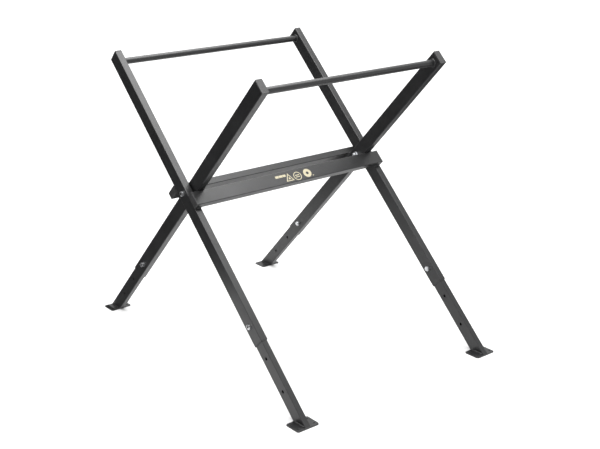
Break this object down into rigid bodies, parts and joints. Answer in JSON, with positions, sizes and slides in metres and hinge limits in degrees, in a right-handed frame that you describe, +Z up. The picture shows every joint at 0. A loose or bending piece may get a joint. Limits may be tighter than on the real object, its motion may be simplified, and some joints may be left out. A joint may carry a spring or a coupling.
{
  "type": "folding sawhorse",
  "caption": "Folding steel sawhorse: two tube frames crossing in an X on one pivot line, with round top bars, cross beams and telescopic legs on flat foot plates.",
  "frame": {"origin": "on the floor, under the middle of the pivot line, at the centre of the footprint", "axes": "X along the top bars, -Y the front (side of the outer frame's feet), +Z up"},
  "size_m": [0.693, 1.01, 0.8194],
  "materials": {
    "black_steel": "satin black powder coat",
    "black_plastic": "matt black plastic",
    "zinc_steel": "bright zinc plate"
  },
  "bodies": {
    "outer_frame": {"outer_leg_left": "black_steel", "outer_leg_right": "black_steel", "outer_cap_left": "black_plastic", "outer_cap_right": "black_plastic", "rear_top_bar": "black_steel", "front_beam": "black_steel", "front_beam_cap_left": "black_plastic", "front_beam_cap_right": "black_plastic", "pivot_bolt_left": "zinc_steel", "pivot_bolt_right": "zinc_steel", "pivot_spacer_left": "black_plastic", "pivot_spacer_right": "black_plastic", "pivot_washer_left": "zinc_steel", "pivot_washer_right": "zinc_steel", "pivot_nut_left": "zinc_steel", "pivot_nut_right": "zinc_steel", "lock_bolt_front_left": "zinc_steel", "lock_bolt_front_right": "zinc_steel", "lock_nut_front_left": "zinc_steel", "lock_nut_front_right": "zinc_steel"},
    "inner_frame": {"inner_leg_left": "black_steel", "inner_leg_right": "black_steel", "inner_cap_left": "black_plastic", "inner_cap_right": "black_plastic", "front_top_bar": "black_steel", "rear_beam": "black_steel", "rear_beam_cap_left": "black_plastic", "rear_beam_cap_right": "black_plastic", "pivot_sleeve_left": "zinc_steel", "pivot_sleeve_right": "zinc_steel", "lock_bolt_rear_left": "zinc_steel", "lock_bolt_rear_right": "zinc_steel", "lock_nut_rear_left": "zinc_steel", "lock_nut_rear_right": "zinc_steel"},
    "leg_front_left": {"slide_front_left": "black_steel", "foot_front_left": "black_steel"},
    "leg_front_right": {"slide_front_right": "black_steel", "foot_front_right": "black_steel"},
    "leg_rear_left": {"slide_rear_left": "black_steel", "foot_rear_left": "black_steel"},
    "leg_rear_right": {"slide_rear_right": "black_steel", "foot_rear_right": "black_steel"}
  },
  "joints": [
    {"name": "frame_fold", "type": "hinge", "parent": "outer_frame", "child": "inner_frame", "pos_m": [0, 0, 0.48], "axis": [-1, 0, 0], "range_deg": [0, 85]},
    {"name": "slide_front_left", "type": "slide", "parent": "outer_frame", "child": "leg_front_left", "axis": [0, 0.7071, 0.7071], "range_m": [0, 0.184]},
    {"name": "slide_front_right", "type": "slide", "parent": "outer_frame", "child": "leg_front_right", "axis": [0, 0.7071, 0.7071], "range_m": [0, 0.184]},
    {"name": "slide_rear_left", "type": "slide", "parent": "inner_frame", "child": "leg_rear_left", "axis": [0, -0.7071, 0.7071], "range_m": [0, 0.184]},
    {"name": "slide_rear_right", "type": "slide", "parent": "inner_frame", "child": "leg_rear_right", "axis": [0, -0.7071, 0.7071], "range_m": [0, 0.184]}
  ]
}
